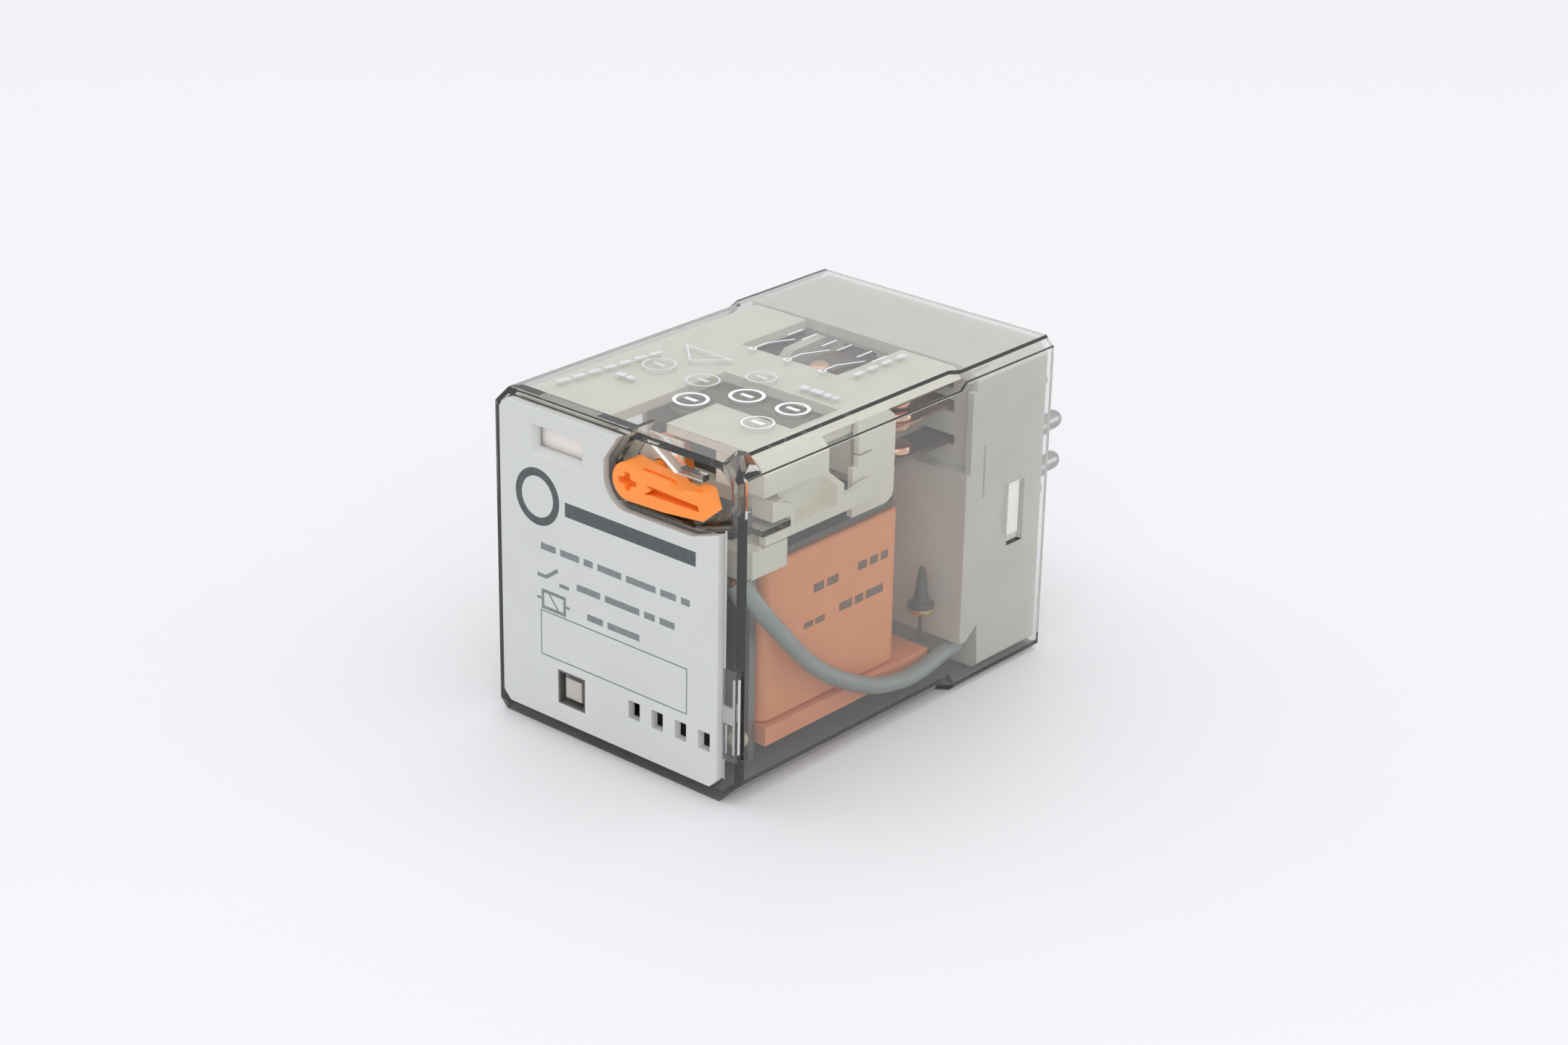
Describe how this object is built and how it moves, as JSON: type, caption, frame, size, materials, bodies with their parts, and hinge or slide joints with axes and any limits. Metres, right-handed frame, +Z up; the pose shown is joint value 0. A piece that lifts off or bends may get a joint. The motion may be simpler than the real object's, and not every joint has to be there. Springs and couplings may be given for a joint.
{
  "type": "plug-in control relay",
  "caption": "Boxy plug-in control relay lying on one side: smoked clear cover over an orange coil and copper contacts, pale label face, orange test lever, round pins at the rear.",
  "frame": {"origin": "middle of the relay's overall box, at the underside it rests on", "axes": "+X across the label face to the lever side, +Y from the label face to the pins, +Z up from the side it lies on"},
  "size_m": [0.036, 0.069, 0.0398],
  "materials": {
    "smoked_clear": "clear, lightly smoked, polished moulding",
    "label_grey": "light grey printed plate, fine satin",
    "clear_lens": "clear lens",
    "flag_white": "off-white with a faint pink tint",
    "lever_orange": "bright orange satin moulding",
    "frame_cream": "light cream-grey satin moulding",
    "base_grey": "light grey satin moulding",
    "bobbin_orange": "orange-brown satin moulding",
    "tape_orange": "salmon insulating tape",
    "insulator_grey": "dark insulating sheet, matt",
    "steel": "plated, satin",
    "copper": "copper alloy spring strip, bright",
    "brass": "brass, bright",
    "nickel": "nickel plated, soft shine",
    "silver": "silver alloy contact rivet with a copper cast",
    "lead_grey": "grey insulated lead, satin",
    "resin": "cured resin bead"
  },
  "bodies": {
    "relay_body": {"base": "base_grey", "bobbin": "bobbin_orange", "coil_terminal_left": "brass", "coil_terminal_right": "brass", "core": "steel", "cover": "smoked_clear", "front_frame": "frame_cream", "inner_lead": "lead_grey", "label_plate": "label_grey", "pin_01": "nickel", "pin_02": "nickel", "pin_03": "nickel", "pin_04": "nickel", "pin_05": "nickel", "pin_06": "nickel", "pin_07": "nickel", "pin_08": "nickel", "pin_09": "nickel", "pin_10": "nickel", "pin_11": "nickel", "resin_bead_lower": "resin", "resin_bead_upper": "resin", "rest_contact_left": "copper", "rest_contact_middle": "copper", "rest_contact_right": "copper", "rest_rivet_left": "silver", "rest_rivet_middle": "silver", "rest_rivet_right": "silver", "return_spring": "steel", "shading_ring": "copper", "top_frame": "frame_cream", "top_insulator": "insulator_grey", "winding": "tape_orange", "window_lens": "clear_lens", "work_contact_left": "copper", "work_contact_middle": "copper", "work_contact_right": "copper", "work_rivet_left": "silver", "work_rivet_middle": "silver", "work_rivet_right": "silver", "yoke": "steel"},
    "armature": {"armature": "steel", "carrier": "frame_cream"},
    "lever": {"test_lever": "lever_orange"},
    "slider": {"test_slider": "frame_cream"},
    "indicator_flag": {"flag": "flag_white"},
    "blade_left": {"blade_left": "copper", "blade_rivet_left": "silver"},
    "blade_middle": {"blade_middle": "copper", "blade_rivet_middle": "silver"},
    "blade_right": {"blade_right": "copper", "blade_rivet_right": "silver"}
  },
  "joints": [
    {"name": "armature_tilt", "type": "hinge", "parent": "relay_body", "child": "armature", "pos_m": [0, -0.02555, 0.0272], "axis": [-1, 0, 0], "range_deg": [0, 5.2], "stiffness_Nm_per_rad": 0.05, "springref_deg": -6.88},
    {"name": "test_push", "type": "slide", "parent": "relay_body", "child": "lever", "axis": [0, 1, 0], "range_m": [0, 0.0015], "stiffness_N_per_m": 400, "springref_m": -0.001},
    {"name": "slider_push", "type": "slide", "parent": "relay_body", "child": "slider", "axis": [0, 1, 0], "range_m": [0, 0.0015]},
    {"name": "flag_lift", "type": "slide", "parent": "relay_body", "child": "indicator_flag", "axis": [0, 0, 1], "range_m": [0, 0.001], "stiffness_N_per_m": 0.01917, "springref_m": 0.01},
    {"name": "blade_left_bend", "type": "hinge", "parent": "relay_body", "child": "blade_left", "pos_m": [-0.011, 0.00925, 0.0338], "axis": [1, 0, 0], "range_deg": [0, 8.8]},
    {"name": "blade_middle_bend", "type": "hinge", "parent": "relay_body", "child": "blade_middle", "pos_m": [0, 0.00925, 0.0338], "axis": [1, 0, 0], "range_deg": [0, 8.8]},
    {"name": "blade_right_bend", "type": "hinge", "parent": "relay_body", "child": "blade_right", "pos_m": [0.011, 0.00925, 0.0338], "axis": [1, 0, 0], "range_deg": [0, 8.8]}
  ],
  "couplings": [
    {"joint": "slider_push", "follows": "test_push", "ratio": 1},
    {"joint": "flag_lift", "follows": "armature_tilt", "m_per_rad": 0.011018},
    {"joint": "blade_left_bend", "follows": "armature_tilt", "ratio": 1.6923},
    {"joint": "blade_middle_bend", "follows": "armature_tilt", "ratio": 1.6923},
    {"joint": "blade_right_bend", "follows": "armature_tilt", "ratio": 1.6923}
  ]
}
